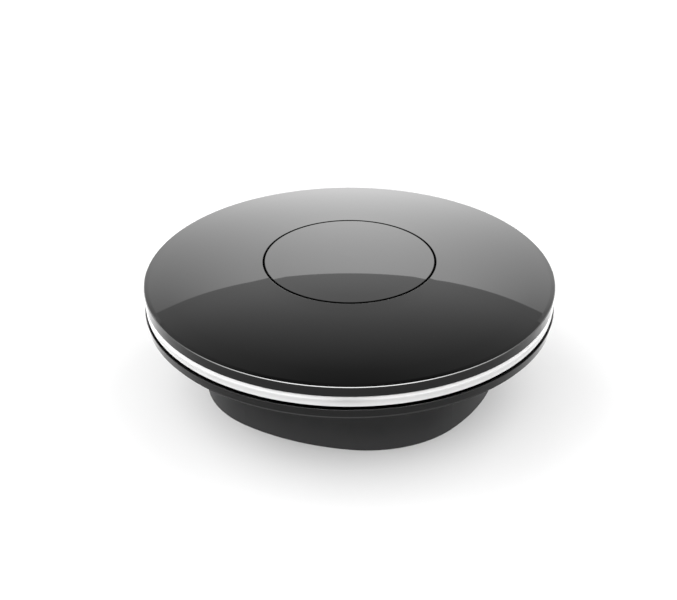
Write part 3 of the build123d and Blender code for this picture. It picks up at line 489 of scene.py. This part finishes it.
def circuit_board(name, mask, trace, bare, z_low, z_high, cell=3.4):
    """Glass-fibre board: solder mask over copper tracks in patches that run
    one way each, tinned vias, and the laminate's layers at its edges."""
    f = Finish(name, IOR=1.5)
    cx, cy = (f.x / cell).floor(), (f.y / cell).floor()
    pick = f.hash(cx, cy)
    pitch = 0.62
    across = ((f.y / pitch).frac() - 0.5).abs()
    along = ((f.x / pitch).frac() - 0.5).abs()
    slant = (((f.x + f.y) / (pitch * 1.414)).frac() - 0.5).abs()
    d = lerp(across, along, pick > 0.36)
    d = lerp(d, slant, pick > 0.66)
    track = 1.0 - d.smooth(0.20, 0.26)
    pour = pick > 0.82
    track = lerp(track, 1.0, pour)
    px = (f.x / cell).frac() - 0.5 + (f.hash(cy, cx) - 0.5) * 0.5
    py = (f.y / cell).frac() - 0.5 + (f.hash(cx, cy + 9.0) - 0.5) * 0.5
    hole = (px * px + py * py).sqrt() * cell
    via = 1.0 - hole.smooth(0.30, 0.34)
    bore = 1.0 - hole.smooth(0.13, 0.17)
    weave = f.noise(0.35, 2.0, at=f.vector(f.x, f.y * 3.0, f.z))
    face = mix_colour(f.tree, track, mask, trace)
    face = mix_colour(f.tree, weave * 0.25, face, shade(mask, 1.7))
    face = mix_colour(f.tree, via, face, (0.62, 0.60, 0.55))
    face = mix_colour(f.tree, bore, face, (0.01, 0.01, 0.01))
    layers = ((f.z - z_low) / (z_high - z_low) * 8.0).frac()
    edge = mix_colour(f.tree, layers.smooth(0.35, 0.65) * 0.5 + weave * 0.4, bare, shade(bare, 0.6))
    flat_face = f.nz.abs() > 0.5
    f.colour(mix_colour(f.tree, flat_face, edge, face))
    f.rough(lerp(0.62, lerp(0.24, 0.34, weave), flat_face))
    f.metal(via * flat_face * (1.0 - bore) * 0.9)
    f.relief((track * 0.6 + via * 0.4 - bore * 0.8) * flat_face, 0.03, 0.8)
    return f.mat


def epoxy(name="epoxy_black"):
    f = Finish(name, IOR=1.5)
    grain = f.noise(0.09, 3.0)
    f.colour(f.tones(grain, (0.016, 0.016, 0.017), (0.026, 0.026, 0.027)))
    f.rough(lerp(0.42, 0.58, grain))
    f.relief(grain, 0.008, 0.7)
    return f.mat


def local_polar(f, step, first):
    """Radial and tangential distance from the nearest of evenly spaced
    directions, in millimetres."""
    r = (f.x * f.x + f.y * f.y).sqrt()
    ang = f.y.op("ARCTAN2", f.x) * (180 / math.pi)
    off_angle = (((ang - first) / step + 0.5).frac() - 0.5) * step * (math.pi / 180)
    return r * off_angle.op("COSINE"), r * off_angle.op("SINE"), r


def tinned_ends(f, is_end, body_lo, body_hi, size=0.15):
    grain = f.noise(size, 3.0)
    f.colour(mix_colour(f.tree, is_end, f.tones(grain, body_lo, body_hi), (0.66, 0.65, 0.62)))
    f.metal(is_end * 0.95)
    f.rough(lerp(lerp(0.4, 0.55, grain), 0.3, is_end))
    f.relief(grain, 0.006, 0.6)


def resistors():
    f = Finish("passive_dark", IOR=1.5)
    _, t, r = local_polar(f, 45.0, 22.5)
    ring_end = t.abs() > 0.68
    row_end = (f.x - 22.5).abs() > 0.52
    tinned_ends(f, lerp(row_end, ring_end, r > 30.0), (0.012, 0.012, 0.014), (0.022, 0.022, 0.026))
    return f.mat


def capacitors():
    f = Finish("passive_tan", IOR=1.5)
    near_row = (f.y - 2.6).abs() < 1.0
    near_top = (f.y - 16.5).abs() < 1.0
    end_row = (f.y - 2.6).abs() > 0.5
    end_top = (f.y - 16.5).abs() > 0.5
    dx = (f.x + 10.0).abs().min((f.x + 13.5).abs()).min((f.x + 14.0).abs())
    end_side = dx > 0.62
    is_end = lerp(lerp(end_side, end_top, near_top), end_row, near_row)
    tinned_ends(f, is_end, (0.30, 0.20, 0.11), (0.42, 0.30, 0.17))
    return f.mat


def power_parts():
    f = Finish("power_ceramic", IOR=1.5)
    tall = (f.y - 22.0).abs() < 2.0
    end_tall = (f.y - 22.0).abs() > 1.1
    dx = (f.x - 8.5).abs().min((f.x - 12.5).abs()).min((f.x - 1.0).abs())
    tinned_ends(f, lerp(dx > 0.85, end_tall, tall), (0.30, 0.21, 0.12), (0.40, 0.29, 0.18))
    return f.mat


def ring_lamp():
    """White lamp package with a yellow phosphor window facing outwards."""
    f = Finish("led_white", IOR=1.5)
    rad, tan_, _ = local_polar(f, 22.5, 11.25)
    window = rad > 46.605
    pads = (tan_.abs() > 1.15) * (f.z < 25.25)
    grain = f.noise(0.12, 3.0)
    body = f.tones(grain, (0.78, 0.78, 0.76), (0.86, 0.86, 0.85))
    body = mix_colour(f.tree, window, body, (0.80, 0.62, 0.10))
    body = mix_colour(f.tree, pads, body, (0.66, 0.65, 0.62))
    f.colour(body)
    f.metal(pads * 0.9)
    f.rough(lerp(0.38, 0.5, grain))
    f.relief(grain, 0.006, 0.5)
    return f.mat


def infrared_lamp():
    """Dark blue-violet tinted epoxy with a darker chip cup near its base."""
    f = Finish("ir_lens", IOR=1.54, Transmission_Weight=0.55)
    rad, tan_, _ = local_polar(f, 45.0, 22.5)
    cup = 1.0 - (rad - 41.2).abs().smooth(0.3, 0.9)
    haze = f.noise(0.8, 3.0)
    tint = f.tones(haze, (0.085, 0.050, 0.19), (0.12, 0.075, 0.25))
    f.colour(mix_colour(f.tree, cup * 0.6, tint, (0.03, 0.02, 0.05)))
    f.rough(lerp(0.03, 0.09, haze))
    return f.mat


def receiver():
    f = Finish("receiver_epoxy", IOR=1.54)
    haze = f.noise(0.6, 3.0)
    f.colour(f.tones(haze, (0.010, 0.006, 0.010), (0.020, 0.012, 0.018)))
    f.rough(lerp(0.08, 0.16, haze))
    return f.mat


def capacitor_can():
    """Drawn aluminium cans with a dark polarity mark on the lid."""
    f = Finish("can_aluminium", Metallic=1.0)
    lines = f.noise(0.2, 3.0, at=f.vector(f.x * 0.4, f.y * 0.4, f.z * 4.0))
    dy = (f.y + 13.5).abs().min((f.y + 4.0).abs())
    dx = f.x + 11.0
    mark = (f.nz > 0.6) * (dx < -1.6)
    groove = 1.0 - ((dx * dx + dy * dy).sqrt() - 3.2).abs().smooth(0.05, 0.16)
    base = f.tones(lines, (0.66, 0.66, 0.68), (0.80, 0.80, 0.82))
    f.colour(mix_colour(f.tree, mark, base, (0.02, 0.02, 0.025)))
    f.metal(1.0 - mark)
    f.rough(lerp(0.22, 0.36, lines))
    f.relief(lines * 0.4 + groove * (f.nz > 0.6) * 0.6, 0.02, 0.6)
    return f.mat


def inductor():
    """Grey ferrite block; the turned groove shows enamelled copper."""
    f = Finish("ferrite", IOR=1.6)
    dx, dy = f.x - 9.5, f.y - 5.0
    r = (dx * dx + dy * dy).sqrt()
    copper = ((r - 2.8).abs() < 0.33) * (f.z < 10.2) * (f.z > 9.6)
    turns = ((r * 6.0).frac() - 0.5).abs()
    grain = f.noise(0.15, 4.0)
    f.colour(mix_colour(f.tree, copper, f.tones(grain, (0.075, 0.075, 0.08), (0.12, 0.12, 0.125)), (0.55, 0.22, 0.08)))
    f.metal(copper * 0.9)
    f.rough(lerp(lerp(0.5, 0.7, grain), 0.3, copper))
    f.relief(lerp(grain, turns, copper), 0.02, 0.7)
    return f.mat


mats = {
    "cover_gloss": gloss_black("cover_gloss", 0.0),
    "button_gloss": gloss_black("button_gloss", 2.3),
    "shell_black": shell_black(),
    "ring_milky": ring_milky(),
    "rubber": rubber(),
    "white_plastic": white_plastic(),
    "plate_black": matt_black("plate_black", (0.020, 0.020, 0.0205), 0.22, 0.02, 0.52),
    "nylon_black": matt_black("nylon_black", (0.024, 0.024, 0.025), 0.35, 0.012, 0.45),
    "switch_black": matt_black("switch_black", (0.018, 0.018, 0.019), 0.10, 0.008, 0.5),
    "screw_steel": metal("screw_steel", (0.56, 0.56, 0.57), 0.30, (1.0, 1.0, 0.4), 0.2),
    "spring_steel": metal("spring_steel", (0.60, 0.60, 0.62), 0.22, (0.6, 0.6, 3.0), 0.08),
    "can_metal": metal("can_metal", (0.68, 0.68, 0.67), 0.28, (0.25, 2.0, 1.0), 0.2),
    "socket_metal": metal("socket_metal", (0.64, 0.64, 0.63), 0.24, (2.0, 0.2, 2.0), 0.12, depth=0.003),
    "frame_metal": metal("frame_metal", (0.70, 0.70, 0.70), 0.26, (0.3, 2.4, 1.0), 0.1, depth=0.003),
    "lead_tin": metal("lead_tin", (0.74, 0.74, 0.72), 0.34, (1.0, 1.0, 1.0), 0.3),
    "contact_gold": metal("contact_gold", (0.90, 0.66, 0.28), 0.22, (1.0, 0.3, 1.0), 0.1, 0.08, 0.002),
    "board_main": circuit_board("board_main", (0.010, 0.085, 0.036), (0.016, 0.150, 0.060), (0.33, 0.30, 0.17), 23.3, 24.9),
    "board_power": circuit_board("board_power", (0.010, 0.085, 0.036), (0.016, 0.150, 0.060), (0.33, 0.30, 0.17), 5.0, 6.6, 4.6),
    "board_radio": circuit_board("board_radio", (0.006, 0.022, 0.070), (0.010, 0.040, 0.120), (0.30, 0.28, 0.18), 24.9, 25.7, 2.6),
    "epoxy_black": epoxy(),
    "passive_dark": resistors(),
    "passive_tan": capacitors(),
    "power_ceramic": power_parts(),
    "led_white": ring_lamp(),
    "ir_lens": infrared_lamp(),
    "receiver_epoxy": receiver(),
    "can_aluminium": capacitor_can(),
    "ferrite": inductor(),
}
wear = {
    "top_cover": "cover_gloss", "button_cap": "button_gloss", "button_carrier": "nylon_black",
    "button_springs": "spring_steel", "carrier_screws": "screw_steel", "light_ring": "ring_milky",
    "ring_reflector": "white_plastic", "lower_shell": "shell_black", "bottom_plate": "plate_black",
    "foot_pad": "rubber", "base_screws": "screw_steel", "case_screws": "screw_steel",
    "main_board": "board_main", "board_screws": "screw_steel", "wifi_module": "board_radio",
    "wifi_shield": "can_metal", "controller_chip": "epoxy_black", "chip_leads": "lead_tin",
    "crystal": "can_metal", "driver_transistors": "epoxy_black", "resistors": "passive_dark",
    "capacitors": "passive_tan", "ir_leds": "ir_lens", "ir_led_leads": "lead_tin",
    "ir_receiver": "receiver_epoxy", "ir_receiver_leads": "lead_tin", "ring_leds": "led_white",
    "tact_switch_body": "switch_black", "tact_switch_frame": "frame_metal", "switch_plunger": "switch_black",
    "power_board": "board_power", "power_board_screws": "screw_steel", "bulk_capacitors": "can_aluminium",
    "inductor": "ferrite", "regulator": "epoxy_black", "regulator_leads": "lead_tin",
    "power_parts": "power_ceramic", "usb_socket_shell": "socket_metal", "usb_socket_tongue": "switch_black",
    "usb_contacts": "contact_gold", "header_pins": "contact_gold", "header_body": "nylon_black",
    "header_socket": "nylon_black",
}
for node, key in wear.items():
    o = nodes[node]
    o.data.materials.clear()
    o.data.materials.append(mats[key])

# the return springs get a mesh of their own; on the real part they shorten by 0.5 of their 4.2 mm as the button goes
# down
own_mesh(nodes["button_springs"])
